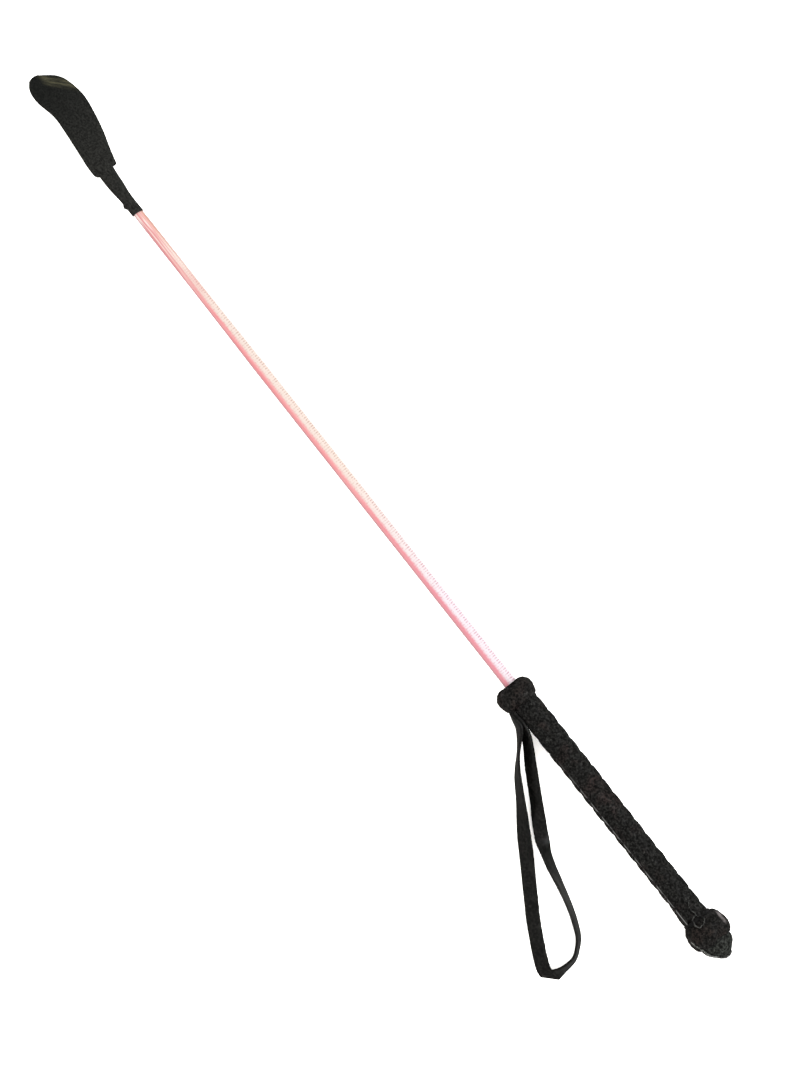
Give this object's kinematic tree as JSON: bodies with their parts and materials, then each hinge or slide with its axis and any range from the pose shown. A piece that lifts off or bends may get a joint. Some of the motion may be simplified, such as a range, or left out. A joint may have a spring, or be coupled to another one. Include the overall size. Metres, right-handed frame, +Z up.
{
  "type": "riding crop",
  "caption": "Riding crop with a black plaited leather grip and wrist loop, a pink thread-wrapped shaft and a folded black leather keeper.",
  "frame": {"origin": "middle of the crop's length, on the plane that it lies on, straight below its long axis", "axes": "+X along the crop from the butt to the keeper, +Z up from the plane it lies on, +Y towards the side on which the wrist loop lies"},
  "size_m": [0.6496, 0.1101, 0.026],
  "materials": {
    "black_leather": "soft satin, with brown wear on the raised strands",
    "keeper_leather": "matt, nearly suede",
    "pink_thread": "glossy woven thread with a pale sheen",
    "black_thread": "matt waxed thread",
    "fibreglass": "satin",
    "grip_core": "matt",
    "knot_core": "raw and matt",
    "pommel_wood": "raw turned wood"
  },
  "bodies": {
    "crop": {"shaft_rod": "fibreglass", "shaft_thread_cover": "pink_thread", "grip_core": "grip_core", "grip_strand_right_1": "black_leather", "grip_strand_right_2": "black_leather", "grip_strand_right_3": "black_leather", "grip_strand_right_4": "black_leather", "grip_strand_left_1": "black_leather", "grip_strand_left_2": "black_leather", "grip_strand_left_3": "black_leather", "grip_strand_left_4": "black_leather", "upper_knot_lace": "black_leather", "upper_knot_core": "knot_core", "upper_binding": "black_thread", "pommel_knot_lace": "black_leather", "butt_cap": "black_leather", "pommel_core": "pommel_wood", "lower_binding": "black_thread", "keeper_neck_sleeve": "keeper_leather", "keeper_tongue_upper": "keeper_leather", "keeper_tongue_lower": "keeper_leather", "neck_binding": "black_thread", "strap_tail_inner": "black_leather", "strap_tail_outer": "black_leather"},
    "wrist_loop": {"wrist_loop_strap": "black_leather"},
    "keeper": {"keeper_flap": "keeper_leather"}
  },
  "joints": [
    {"name": "wrist_loop_swing", "type": "hinge", "parent": "crop", "child": "wrist_loop", "pos_m": [-0.139, 0.0102, 0.0119], "axis": [0, 0, 1], "range_deg": [-85, 0]},
    {"name": "keeper_flex", "type": "hinge", "parent": "crop", "child": "keeper", "pos_m": [0.256, -0.0011, 0.0089], "axis": [0, -1, 0], "range_deg": [-40, 60], "stiffness_Nm_per_rad": 0.05}
  ]
}
